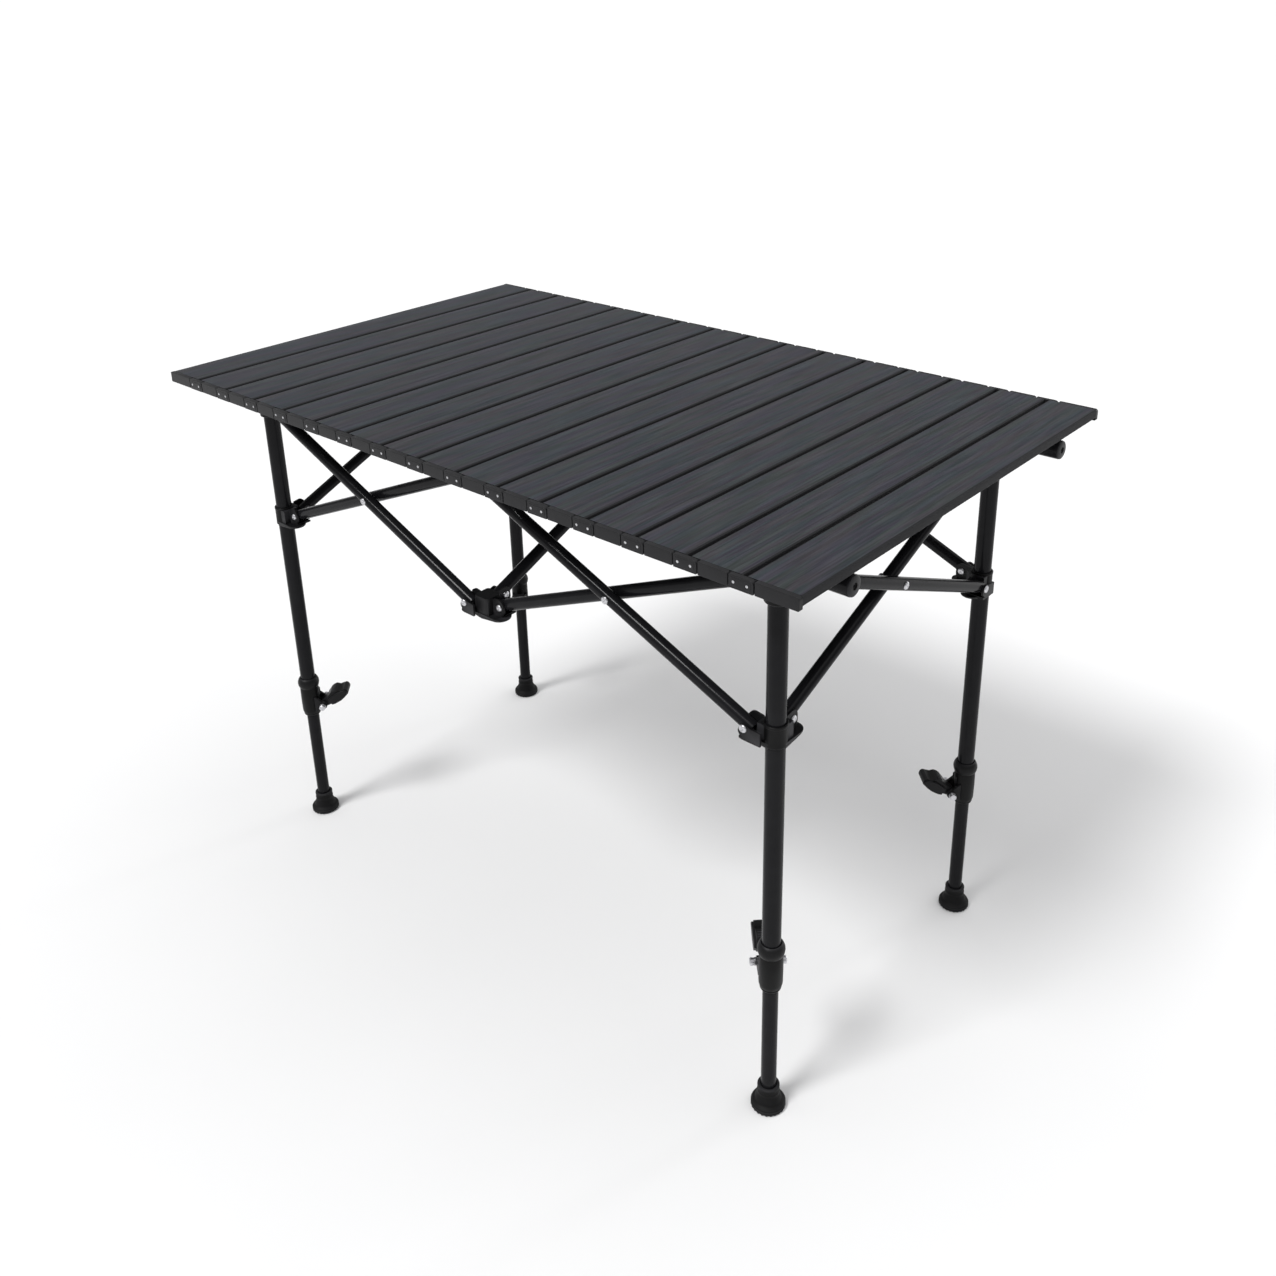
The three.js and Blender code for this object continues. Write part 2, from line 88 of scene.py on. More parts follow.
# ---- materials ----------------------------------------------------------------------------------
class Graph:
    """Short way to write a material's nodes. Methods return output sockets."""

    def __init__(self, name):
        self.mat = bpy.data.materials.new(name)
        self.mat.use_nodes = True
        self.tree = self.mat.node_tree
        self.bsdf = self.tree.nodes["Principled BSDF"]
        self.coord = self.tree.nodes.new("ShaderNodeTexCoord")

    def node(self, kind, **inputs):
        n = self.tree.nodes.new(kind)
        for key, value in inputs.items():
            socket = n.inputs[key.replace("_", " ")] if key.replace("_", " ") in n.inputs else None
            if socket is None:
                setattr(n, key, value)
            elif isinstance(value, bpy.types.NodeSocket):
                self.tree.links.new(value, socket)
            else:
                socket.default_value = value
        return n

    def link(self, a, b):
        self.tree.links.new(a, b)

    def stretched(self, scale):
        n = self.node("ShaderNodeMapping", Vector=self.coord.outputs["Object"])
        n.inputs["Scale"].default_value = scale
        return n.outputs["Vector"]

    def noise(self, vector, scale, detail=3.0, rough=0.55):
        n = self.node("ShaderNodeTexNoise", Vector=vector, Scale=scale, Detail=detail,
                      Roughness=rough)
        return n.outputs["Fac"]

    def ramp(self, value, low, high, start=0.3, end=0.7):
        n = self.node("ShaderNodeValToRGB", Fac=value)
        n.color_ramp.elements[0].position = start
        n.color_ramp.elements[0].color = (*low, 1)
        n.color_ramp.elements[1].position = end
        n.color_ramp.elements[1].color = (*high, 1)
        return n.outputs["Color"]

    def span(self, value, low, high, start=0.0, end=1.0):
        n = self.node("ShaderNodeMapRange", Value=value)
        for key, number in zip(("From Min", "From Max", "To Min", "To Max"),
                               (start, end, low, high)):
            n.inputs[key].default_value = number
        return n.outputs["Result"]

    def mix(self, fac, a, b):
        n = self.tree.nodes.new("ShaderNodeMix")
        n.data_type = "RGBA"
        for socket, value in ((n.inputs["Factor"], fac), (n.inputs[6], a), (n.inputs[7], b)):
            if isinstance(value, bpy.types.NodeSocket):
                self.link(value, socket)
            else:
                socket.default_value = value
        return n.outputs[2]

    def maths(self, operation, a, b):
        n = self.tree.nodes.new("ShaderNodeMath")
        n.operation = operation
        for socket, value in zip(n.inputs, (a, b)):
            if isinstance(value, bpy.types.NodeSocket):
                self.link(value, socket)
            else:
                socket.default_value = value
        return n.outputs["Value"]

    def worn_and_highlit_edges(self, low=0.52, high=0.6):
        """1 on outer edges, 0 elsewhere. It marks wear, and on mouldings a painted highlight."""
        geometry = self.node("ShaderNodeNewGeometry")
        return self.span(geometry.outputs["Pointiness"], 0.0, 1.0, low, high)

    def bump(self, height, strength, distance):
        n = self.node("ShaderNodeBump", Height=height)
        n.inputs["Strength"].default_value = strength
        n.inputs["Distance"].default_value = distance
        self.link(n.outputs["Normal"], self.bsdf.inputs["Normal"])

    def finish(self, color, roughness, **fixed):
        self.link(color, self.bsdf.inputs["Base Color"])
        self.link(roughness, self.bsdf.inputs["Roughness"])
        for key, value in fixed.items():
            self.bsdf.inputs[key.replace("_", " ")].default_value = value
        return self.mat


def brushed_slat():
    """Dark anodised aluminium. The face is brushed along the slat, along Y. Lips and walls carry a
    painted shade, near black.
    """
    g = Graph("slat_brushed_aluminium")
    hair = g.noise(g.stretched((1, 0.010, 1)), 1900, 2.0, 0.7)
    streak = g.noise(g.stretched((1, 0.030, 1)), 430, 4.0, 0.7)
    broad = g.noise(g.stretched((1, 0.10, 1)), 90, 3.0, 0.6)
    hue = g.noise(g.stretched((1, 0.08, 1)), 230, 2.0, 0.5)
    grey = g.ramp(streak, (0.004, 0.005, 0.006), (0.058, 0.062, 0.070), 0.36, 0.66)
    warm = g.ramp(hue, (0.012, 0.038, 0.031), (0.047, 0.021, 0.048), 0.42, 0.58)
    cold = g.ramp(broad, (0.013, 0.024, 0.050), (0.038, 0.040, 0.034), 0.42, 0.58)
    face = g.mix(0.42, grey, g.mix(0.5, warm, cold))
    upward = g.node("ShaderNodeSeparateXYZ", Vector=g.coord.outputs["Normal"]).outputs["Z"]
    level = (0.968, 0.996)      # the upward share of the normal, where a lip turns into the face
    face_without_painted_shade = g.span(upward, 0.0, 1.0, *level)
    # Painted shade: lips and walls, where the normal turns away from upward, are coloured near
    # black.
    color = g.mix(face_without_painted_shade, (0.0045, 0.0048, 0.0055, 1), face)
    edge = g.worn_and_highlit_edges()
    color = g.mix(g.maths("MULTIPLY", edge, 0.10), color, (0.12, 0.12, 0.13, 1))
    rough = g.maths("ADD", g.span(streak, 0.30, 0.50), g.span(broad, -0.04, 0.05))
    rough = g.maths("ADD", rough, g.span(upward, 0.22, 0.0, *level))
    height = g.maths("ADD", g.maths("MULTIPLY", hair, 0.8), g.maths("MULTIPLY", streak, 0.7))
    g.bump(height, 0.30, 0.00012)
    return g.finish(color, rough, Metallic=0.2, Specular_IOR_Level=0.17)


def coated_tube():
    """Gloss black coat on drawn tube, with a faint orange peel and light scuffs."""
    g = Graph("tube_gloss_black")
    vector = g.coord.outputs["Object"]
    peel = g.noise(vector, 900, 2.0, 0.5)
    dust = g.noise(vector, 60, 5.0, 0.65)
    scratch = g.noise(g.stretched((1, 1, 0.05)), 1500, 2.0, 0.6)
    color = g.ramp(dust, (0.0016, 0.0016, 0.0020), (0.0050, 0.0050, 0.0058), 0.35, 0.75)
    edge = g.worn_and_highlit_edges(0.54, 0.62)
    color = g.mix(g.maths("MULTIPLY", edge, 0.4), color, (0.05, 0.05, 0.055, 1))
    rough = g.maths("ADD", g.span(dust, 0.13, 0.24), g.span(scratch, -0.03, 0.05))
    g.bump(g.maths("ADD", peel, g.maths("MULTIPLY", scratch, 0.4)), 0.06, 0.00012)
    return g.finish(color, rough, Metallic=0.0, Coat_Weight=0.10, Coat_Roughness=0.06,
                    Specular_IOR_Level=0.05)


def moulded(name, tone, rough_low, rough_high, grain, strength):
    """Black moulding with a spark-eroded grain and paler edges, a painted highlight along the outer
    edges.
    """
    g = Graph(name)
    vector = g.coord.outputs["Object"]
    cell = g.node("ShaderNodeTexVoronoi", Vector=vector, Scale=grain)
    pits = cell.outputs["Distance"]
    flow = g.noise(vector, 45, 4.0, 0.6)
    low = (tone * 0.8, tone * 0.8, tone * 0.84)
    high = (tone * 1.7, tone * 1.7, tone * 1.78)
    color = g.ramp(flow, low, high, 0.3, 0.75)
    edge = g.worn_and_highlit_edges()
    # Painted highlight: the outer edges are mixed towards a paler grey, as light lines along them.
    color = g.mix(g.maths("MULTIPLY", edge, 0.5), color, (0.06, 0.06, 0.065, 1))
    rough = g.maths("ADD", g.span(flow, rough_low, rough_high), g.span(pits, -0.04, 0.06))
    g.bump(g.maths("ADD", pits, g.maths("MULTIPLY", flow, 0.5)), strength, 0.0002)
    return g.finish(color, rough, Metallic=0.0, Specular_IOR_Level=0.14)


def bright_pin():
    """Zinc plated steel, lightly brushed, with small dull spots."""
    g = Graph("pin_bright_steel")
    vector = g.coord.outputs["Object"]
    spots = g.noise(vector, 700, 4.0, 0.6)
    turned = g.noise(g.stretched((1, 1, 0.1)), 2500, 2.0, 0.6)
    color = g.ramp(spots, (0.46, 0.46, 0.48), (0.66, 0.66, 0.68), 0.3, 0.62)
    rough = g.span(spots, 0.42, 0.30)
    g.bump(turned, 0.12, 0.00008)
    return g.finish(color, rough, Metallic=1.0)


SLAT = brushed_slat()
TUBE = coated_tube()
PLASTIC = moulded("hub_grained_plastic", 0.0034, 0.30, 0.48, 2600, 0.16)
TRIM = moulded("cap_smooth_plastic", 0.0036, 0.24, 0.38, 3400, 0.08)
RUBBER = moulded("foot_rubber", 0.0046, 0.48, 0.68, 1800, 0.3)
PIN = bright_pin()


# ---- mesh tools: every shape is (vertices, faces) in millimetres --------------------------------
def prism(outline, y0, y1):
    """Outline in X and Z, given thickness along Y."""
    n = len(outline)
    verts = [(x, y0, z) for x, z in outline] + [(x, y1, z) for x, z in outline]
    faces = [tuple(range(n)), tuple(range(2 * n - 1, n - 1, -1))]
    faces += [(i, i + n, (i + 1) % n + n, (i + 1) % n) for i in range(n)]
    return verts, faces


def block(x0, x1, y0, y1, z0, z1):
    return prism([(x0, z0), (x1, z0), (x1, z1), (x0, z1)], y0, y1)


def turned(profile, sides=40):
    """Round body about Z from (radius, height) points; a radius of 0 closes an end."""
    closed = profile[0] == profile[-1]
    rings = profile[:-1] if closed else profile
    verts, index = [], []
    for r, z in rings:
        if r == 0:
            index.append([len(verts)] * sides)
            verts.append((0.0, 0.0, z))
        else:
            index.append([len(verts) + k for k in range(sides)])
            for k in range(sides):
                a = 2 * math.pi * k / sides
                verts.append((r * math.cos(a), r * math.sin(a), z))
    count = len(rings)
    faces = []
    for i in range(count if closed else count - 1):
        lower, upper = index[i], index[(i + 1) % count]
        for k in range(sides):
            m = (k + 1) % sides
            loop = (lower[k], lower[m], upper[m], upper[k])
            face = [v for j, v in enumerate(loop) if v not in loop[:j]]
            if len(face) > 2:
                faces.append(tuple(face))
    return verts, faces


def rod(radius, z0, z1, sides=32, chamfer=0.4):
    return turned([(0, z0), (radius - chamfer, z0), (radius, z0 + chamfer),
                   (radius, z1 - chamfer), (radius - chamfer, z1), (0, z1)], sides)


def pipe(radius, bore, z0, z1, sides=40, chamfer=0.3):
    return turned([(bore, z0), (radius - chamfer, z0), (radius, z0 + chamfer),
                   (radius, z1 - chamfer), (radius - chamfer, z1), (bore, z1), (bore, z0)], sides)


def rivet_head(radius=4.2, height=1.7, dimple=True):
    """Low dome on Z = 0, with the small dimple that setting it leaves."""
    if dimple:
        crown = [(radius * 0.36, height), (radius * 0.2, height * 0.72), (0, height * 0.66)]
    else:
        crown = [(radius * 0.3, height), (0, height)]
    return turned([(0, -0.6), (radius * 0.97, -0.6), (radius, 0.25), (radius * 0.9, height * 0.62),
                   (radius * 0.62, height * 0.93), *crown], 28)


def placed(shape, matrix):
    verts, faces = shape
    flip = matrix.to_3x3().determinant() < 0
    moved = [tuple(matrix @ Vector(v)) for v in verts]
    return moved, [tuple(reversed(f)) for f in faces] if flip else faces


def at(x, y, z):
    return Matrix.Translation((x, y, z))


def spin(degrees, axis):
    return Matrix.Rotation(math.radians(degrees), 4, axis)


def mirror(axis):
    return Matrix.Diagonal([-1 if name == axis else 1 for name in "XYZ"] + [1])


def arc(cx, cz, r, start, end, steps):
    out = []
    for i in range(steps + 1):
        a = math.radians(start + (end - start) * i / steps)
        out.append((cx + r * math.cos(a), cz + r * math.sin(a)))
    return out


def piece(name, shapes, material, body, bevel=0.0, angle=32, segments=3, replaces=()):
    """Joins shapes into one object that rides on a CAD body."""
    verts, faces = [], []
    for shape_verts, shape_faces in shapes:
        start = len(verts)
        verts += [(x * MM, y * MM, z * MM) for x, y, z in shape_verts]
        faces += [tuple(i + start for i in f) for f in shape_faces]
    mesh = bpy.data.meshes.new(name)
    mesh.from_pydata(verts, [], faces)
    mesh.validate()
    work = bmesh.new()
    work.from_mesh(mesh)
    bmesh.ops.recalc_face_normals(work, faces=work.faces)
    work.to_mesh(mesh)
    work.free()
    mesh.materials.append(material)
    obj = bpy.data.objects.new(name, mesh)
    bpy.context.scene.collection.objects.link(obj)
    for polygon in mesh.polygons:
        polygon.use_smooth = True
    if bevel:
        rounding = obj.modifiers.new("rounded edges", "BEVEL")
        rounding.width = bevel * MM
        rounding.segments = segments
        rounding.limit_method = "ANGLE"
        rounding.angle_limit = math.radians(angle)
        rounding.harden_normals = True
        rounding.use_clamp_overlap = True
    else:
        mesh.set_sharp_from_angle(angle=math.radians(angle))
    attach(obj, body)
    if replaces:
        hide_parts(*replaces)


# ---- slats --------------------------------------------------------------------------------------
END_Y = WIDTH / 2 - 5       # end of the aluminium, where the cap begins
CAP_X = 15.4                # half length of a cap between two links
LINK_HALF = 12.5            # half length of a link
PIN_IN = 4.5                # from the next slat's edge to the link's pin in it


def slat_section():
    """Channel with a barely crowned face, round lips and an open underside."""
    right_side = [(HALF - 2.1, -0.02), (HALF - 1.3, -0.26), (HALF - 0.45, -0.9),
                  (HALF, -2.1), (HALF, -8.5),
                  (HALF - 4, -SLAT_T), (HALF - 7, -SLAT_T), (HALF - 7, 1.4 - SLAT_T),
                  (HALF - 4.7, 1.4 - SLAT_T), (HALF - 1.4, -7.8), (HALF - 1.4, -1.5)]
    face = [(0.0, 0.0), (HALF * 0.5, 0.0)]
    inner = [(0.0, -1.5)]
    left_side = [(-x, z) for x, z in reversed(right_side)]
    left_face = [(-HALF * 0.5, 0.0)]
    return face + right_side + inner + left_side + left_face


def tongue(x0, x1, low, high, round_right, round_left=0.8):
    """Side view of a cap or link: upright ends, the top right corner well rounded."""
    out = [(x0, low), (x1 - 0.8, low), (x1, low + 0.8)]
    out += arc(x1 - round_right, high - round_right, round_right, 0, 90, 6)
    out += arc(x0 + round_left, high - round_left, round_left, 90, 180, 3)
    return out


def build_slat(number):
    name = f"slat_{number:02d}"
    first, last = number == 1, number == SLATS
    body = "centre_and_first_slat" if first else name
    centre = -TOP_L / 2 + HALF + (number - 1) * PITCH
    place = at(centre, 0, HEIGHT)
    channel = placed(prism(slat_section(), -END_Y, END_Y), place)
    piece(f"face_{name}", [channel], SLAT, body, replaces=[name], angle=28)
    plastic, pins = [], []
    for side in (1, -1):
        turn = place @ (Matrix.Identity(4) if side > 0 else mirror("Y"))
        left = -HALF if first else -CAP_X
        reach = HALF if last else CAP_X
        plug = prism([(-HALF + 1.6, -1.6), (-HALF + 1.6, -8.0), (-HALF + 5, -11.2),
                      (HALF - 5, -11.2), (HALF - 1.6, -8.0), (HALF - 1.6, -1.6)],
                     END_Y - 14, END_Y - 0.4)
        flange = prism([(-HALF + 0.3, -0.9), (-HALF + 0.3, -8.4), (-HALF + 4.2, -12.2),
                        (HALF - 4.2, -12.2), (HALF - 0.3, -8.4), (HALF - 0.3, -0.9)],
                       END_Y - 0.6, END_Y + 0.1)
        cap = prism(tongue(left, reach, 0.3 - SLAT_T, -0.1, 3.0), END_Y - 0.2, WIDTH / 2 - 0.1)
        plastic += [placed(s, turn) for s in (plug, flange, cap)]
        if not last:
            start = HALF + GAP / 2 - LINK_HALF
            end = HALF + GAP / 2 + LINK_HALF
            link = prism(tongue(start, end, 0.05 - SLAT_T, -0.2, 4.4), END_Y + 0.35, WIDTH / 2)
            recess = prism(tongue(start + 2.2, end - 2.4, 2.2 - SLAT_T, -2.4, 2.4),
                           WIDTH / 2 - 1, WIDTH / 2 + 0.28)
            plastic += [placed(link, turn), placed(recess, turn)]
            for x in (start + 5.2, HALF + GAP + PIN_IN):
                head = placed(rivet_head(1.25, 0.5), spin(-90, "X"))
                spot = turn @ at(x, WIDTH / 2 + 0.2, -SLAT_T / 2)
                pins.append(placed(head, spot))
    piece(f"edge_{name}", plastic, TRIM, body, bevel=0.55, segments=2)
    if pins:
        piece(f"edge_pins_{name}", pins, PIN, body, angle=40)


for slat_number in range(1, SLATS + 1):
    build_slat(slat_number)


# ---- rails --------------------------------------------------------------------------------------
def build_rail(name, y, body):
    half = TOP_L / 2 - 3
    lay = at(0, y, RAIL_Z) @ spin(90, "Y")
    tube = placed(pipe(RAIL_R, RAIL_R - 1.2, -half, half, 48), lay)
    piece(name + "_tube", [tube], TUBE, body, replaces=[name], angle=30)
    plugs = []
    for turn in (Matrix.Identity(4), mirror("Z")):
        plug = turned([(1.5, half - 5), (RAIL_R - 1.3, half - 5), (RAIL_R - 1.3, half - 0.1),
                       (RAIL_R - 0.3, half + 0.2), (RAIL_R - 0.5, half + 1.2),
                       (RAIL_R - 1.8, half + 1.9), (3.4, half + 2.0), (3.0, half + 0.8),
                       (1.5, half + 0.8), (1.5, half - 5)], 48)
        plugs.append(placed(plug, lay @ turn))
    piece(name + "_plugs", plugs, PLASTIC, body, angle=35)


build_rail("rail_front", -LEG_Y, "centre_and_first_slat")
build_rail("rail_back", LEG_Y, "back_centre_top")

# ---- hubs ---------------------------------------------------------------------------------------
CHEEK = 2.4                 # thickness of a fork's cheek
FORK_IN = BAR_R + 0.5       # from the fork's middle to the cheeks' inner faces
FORK_OUT = FORK_IN + CHEEK
DEPTH = 12.2                # from the pin down to the fork's floor
FORK_START = 15.2           # where a cheek begins if another bar passes beside it
CHEEK_ROOT = 5.0            # where it begins otherwise, inside the sleeve
NECK = 10.0                 # half width of the arm between sleeve and fork
KEEL_HALF = 11.3            # half width of a keel
KEEL_DEEP = 5.4             # its thickness at the sleeve
KEEL_RISE = 2.4             # how much thinner it is at the nose
SWEEP = 9.9                 # clear radius round each pin, where the bar's end swings
BORE = UPPER_R + 0.6        # clear radius round the leg inside a sliding hub
SLEEVE_R = 11.3             # outer radius of a sliding hub's sleeve
TOP_SLEEVE_R = 13.0         # outer radius of the cap on a leg's top
POST_HALF = 10.4            # half width of a centre hub's post


def upright(plan, z0, z1):
    """Solid that carries a plan outline of (x, y) up from z0 to z1."""
    return placed(prism([(x, -y) for x, y in plan], z0, z1), spin(90, "X"))


def keel(reach, bore):
    """Boat-shaped floor of a lower hub's arm: round nose, underside rising towards it."""
    rim = [(0, -KEEL_HALF), *arc(reach, 0, KEEL_HALF, -90, 90, 14), (0, KEEL_HALF)]
    inside = arc(0, 0, bore, 90, -90, 12) if bore else []
    tip = reach + KEEL_HALF
    rings = []
    # Each ring is narrower and lower than the one before it.
    for narrowing, drop in ((0, 0.0), (0.015, 0.42), (0.07, 0.80), (0.18, 1.0)):
        ring = []
        for x, y in rim:
            depth = KEEL_DEEP - KEEL_RISE * (x / tip) ** 1.5
            share = 1 - narrowing * min(1, x / reach)
            ring.append((x * (1 + share) / 2, y * share, -SWEEP - depth * drop))
        ring += [(x, y, -SWEEP - KEEL_DEEP * drop) for x, y in inside]
        rings.append(ring)
    n = len(rings[0])
    verts = [v for ring in rings for v in ring]
    faces = [tuple(range(n)), tuple(range(len(verts) - n, len(verts)))]
    for level in range(len(rings) - 1):
        for i in range(n):
            j = (i + 1) % n
            low, high = level * n, (level + 1) * n
            faces.append((low + i, low + j, high + j, high + i))
    return verts, faces


def arm(reach, side, closed_below, inner, bore):
    """Fork round one bar's end, reaching along +X. Returns plastic shapes and rivet shapes.
    The cheeks begin at inner: at the sleeve, or further out where another bar passes.
    bore is the clear radius left round the leg, or 0."""
    y_mid = LATERAL
    root = max(inner, bore + 0.2)
    tall = [(root, -DEPTH), (reach - 2, -DEPTH), *arc(reach - 0.6, -3.0, 7.4, -64, 0, 5),
            *arc(reach - 0.6, 2.3, 7.3, 8, 100, 8), (reach - 9, 8.4), (root, 5.4)]
    low = [(inner, -DEPTH), (reach - 4, -DEPTH), *arc(reach - 0.8, -3.0, 6.6, -64, 0, 5),
           *arc(reach - 0.8, -0.6, 5.4, 8, 100, 8), (reach - 7, 2.6), (inner, 1.6)]
    inner_cheek = prism(tall, y_mid - FORK_OUT, y_mid - FORK_IN)
    outer_cheek = prism(low, y_mid + FORK_IN, y_mid + FORK_OUT)
    floor_plate = prism([(FORK_START - 4, -DEPTH - 0.1), *arc(reach, 0, DEPTH + 0.1, -90, -66, 4),
                         *arc(reach, 0, SWEEP, -62, -90, 4), (FORK_START - 4, -SWEEP)],
                        y_mid - FORK_OUT + 0.2, y_mid + FORK_OUT - 0.2)
    half = NECK - 0.5
    start = arc(0, 0, bore, 69, -69, 10) if bore else [(2, half), (2, -half)]
    neck = upright([*start, (reach - SWEEP, -half), (reach - SWEEP, half)], 1.2 - DEPTH, 6.8)
    web = block(reach - 11.5, FORK_START + 1, y_mid - FORK_OUT + 0.2, y_mid - FORK_IN - 0.2,
                0.7 - DEPTH, 6.6)
    rib = block(reach - 11.5, FORK_START + 0.8, y_mid - FORK_OUT + 0.2, NECK - 0.7,
                0.3 - DEPTH, 2.0 - DEPTH)
    shapes = [inner_cheek, outer_cheek, floor_plate, neck, web, rib]
    if closed_below:
        shapes.append(keel(reach, bore))
    head = rivet_head()
    shank = placed(rod(2.0, -FORK_OUT, FORK_OUT, 20), spin(90, "X"))
    pins = [placed(shank, at(reach, y_mid, 0)),
            placed(placed(head, spin(-90, "X")), at(reach, y_mid + FORK_OUT, 0)),
            placed(placed(head, spin(90, "X")), at(reach, y_mid - FORK_OUT, 0))]
    turn = Matrix.Identity(4)
    if not closed_below:
        turn = mirror("Z") @ turn
    if side < 0:
        turn = mirror("Y") @ turn
    return [placed(s, turn) for s in shapes], [placed(s, turn) for s in pins]


STATIONS = {
    "front_left": (-LEG_X, -LEG_Y), "front_centre": (0, -LEG_Y), "front_right": (LEG_X, -LEG_Y),
    "back_left": (-LEG_X, LEG_Y), "back_centre": (0, LEG_Y), "back_right": (LEG_X, LEG_Y),
}
LEGS = [name for name in STATIONS if "centre" not in name]
# name, station a, station b, direction, sideways sign of the bar that falls from a to b
UNITS = [
    ("front_left", "front_left", "front_centre", "x", -1),
    ("front_right", "front_centre", "front_right", "x", -1),
    ("back_left", "back_left", "back_centre", "x", 1),
    ("back_right", "back_centre", "back_right", "x", 1),
    ("side_left", "front_left", "back_left", "y", -1),
    ("side_centre", "front_centre", "back_centre", "y", 1),
    ("side_right", "front_right", "back_right", "y", 1),
]


def reach_of(station, direction):
    return REACH_MID if "centre" in station and direction == "x" else REACH


def arms_at(station, top):
    """(direction, heading in degrees, sideways sign in the table's axes) of each arm."""
    found = []
    for _, a, b, direction, side in UNITS:
        if station in (a, b):
            heading = (0 if direction == "x" else 90) + (0 if station == a else 180)
            found.append((direction, heading, side if (station == a) == top else -side))
    return found


def outward(heading):
    """Which way an arm points along its own axis."""
    return 1 if heading in (0, 90) else -1


def hub_arms(station, top):
    plastic, pins = [], []
    arms = arms_at(station, top)
    for direction, heading, sideways in arms:
        # Another arm's bar is in the way if it leans to this arm and this arm leans to it.
        crossed = any(d != direction and outward(h) == sideways and lean == outward(heading)
                      for d, h, lean in arms)
        inner = FORK_START if crossed else CHEEK_ROOT
        flip = 1 if heading in (0, 270) else -1
        bore = BORE if station in LEGS and not top else 0
        shapes, rivets = arm(reach_of(station, direction), sideways * flip, not top, inner, bore)
        plastic += [placed(s, spin(heading, "Z")) for s in shapes]
        pins += [placed(s, spin(heading, "Z")) for s in rivets]
    return plastic, pins


def rounded_post(half, radius, z0, z1):
    """Square post along Z with rounded corners."""
    c = half - radius
    plan = []
    for k, (sx, sy) in enumerate(((1, 1), (-1, 1), (-1, -1), (1, -1))):
        plan += arc(sx * c, sy * c, radius, 90 * k, 90 * k + 90, 4)
    return upright(plan, z0, z1)


def cradle(low):
    """Saddle under a rail, drawn in Y and Z and laid along X."""
    outline = [(-13, low), (13, low), (13, RAIL_Z - 2),
               *arc(0, RAIL_Z, RAIL_R + 0.35, -11, -169, 14), (-13, RAIL_Z - 2)]
    return placed(prism(outline, -17, 17), spin(90, "Z"))


def raised(shapes, x, y, z):
    return [placed(s, at(x, y, z)) for s in shapes]


def build_hubs():
    for station, (x, y) in STATIONS.items():
        leg = station in LEGS
        for top in (True, False):
            plastic, pins = hub_arms(station, top)
            z = PIVOT_TOP if top else PIVOT_LOW
            if leg and top:
                body, node = f"leg_{station}", ()
                plastic.append(turned([
                    (UPPER_R, -13), (TOP_SLEEVE_R - 0.8, -13), (TOP_SLEEVE_R, -12.2),
                    (TOP_SLEEVE_R, 12.2), (TOP_SLEEVE_R - 0.8, 13), (0, 13)], 40))
            elif leg:
                body, node = f"slider_{station}", (f"hub_slider_{station}",)
                plastic.append(turned([
                    (UPPER_R + 0.4, -14.4), (10.7, -14.4), (SLEEVE_R, -13.9), (11.5, -12.6),
                    (SLEEVE_R, -11.8), (SLEEVE_R, 6.0), (11.7, 6.6), (11.7, 8.2), (11.1, 9.0),
                    (UPPER_R + 0.5, 9.2), (UPPER_R + 0.4, -14.4)], 48))
            else:
                node = (f"hub_{'top' if top else 'low'}_{station}",)
                body = node[0]
                if top:
                    body = "centre_and_first_slat" if "front" in station else "back_centre_top"
                plastic.append(rounded_post(POST_HALF, 3.2, -10.4 if top else -12.6, 10.2))
            shapes = raised(plastic, x, y, z)
            if top:
                shapes += raised([cradle(PIVOT_TOP + 9.9)], x, y, 0)
            label = f"hub_{'upper' if top else 'lower'}_{station}"
            piece(label, shapes, PLASTIC, body, bevel=0.7, replaces=node)
            piece("rivets_" + label, raised(pins, x, y, z), PIN, body, angle=40)


build_hubs()


# ---- legs ---------------------------------------------------------------------------------------
def collar_shapes():
    """The collar's barrel, and the lugs and ribs that hold the lever on its +X side."""
    z = COLLAR_LOW
    barrel = turned([
        (LOWER_R + 0.35, z), (9.4, z), (10.6, z + 0.6), (10.9, z + 1.5), (10.5, z + 2.2),
        (10.9, z + 3.0), (11.8, z + 5.6), (12.1, z + 8), (12.3, z + 24), (12.0, z + 40.2),
        (11.7, z + 41.0), (11.9, z + 41.8), (12.6, z + 42.4), (13.6, z + 45.5), (13.95, z + 48),
        (13.7, z + 50.5), (12.6, z + 53.4), (11.2, z + 55.6), (10.4, z + 56), (9.85, z + 55.6),
        (9.85, z + 12), (LOWER_R + 0.35, z + 12), (LOWER_R + 0.35, z)], 56)
    lug = prism([(7, -8.5), (LEVER_OUT - 2, -6.6), *arc(LEVER_OUT, 0, 5.5, -70, 95, 8), (9, 12.5),
                 (7, 12.5)], 7.6, 11.6)
    rib = prism([(9, 12), (11.6, 12), (13.0, 24), (12.6, 36), (9, 37)], -5.5, -3.6)
    lugs = [placed(lug, at(0, 0, LEVER_Z)), placed(lug, at(0, 0, LEVER_Z) @ mirror("Y")),
            placed(rib, at(0, 0, z)), placed(rib, at(0, 0, z) @ mirror("Y"))]
    return barrel, lugs


def collar_pin():
    stations = [(0, -18.5), (3.4, -18.5), (4, -17.8), (4, -15.4), (3.5, -15.1), (3.5, -14.6),
                (4, -14.3), (4, -12.4), (3.6, -11.9), (2.6, -11.8)]
    profile = stations + [(r, -y) for r, y in reversed(stations)]
    return placed(turned(profile, 28), at(LEVER_OUT, 0, LEVER_Z) @ spin(90, "X"))


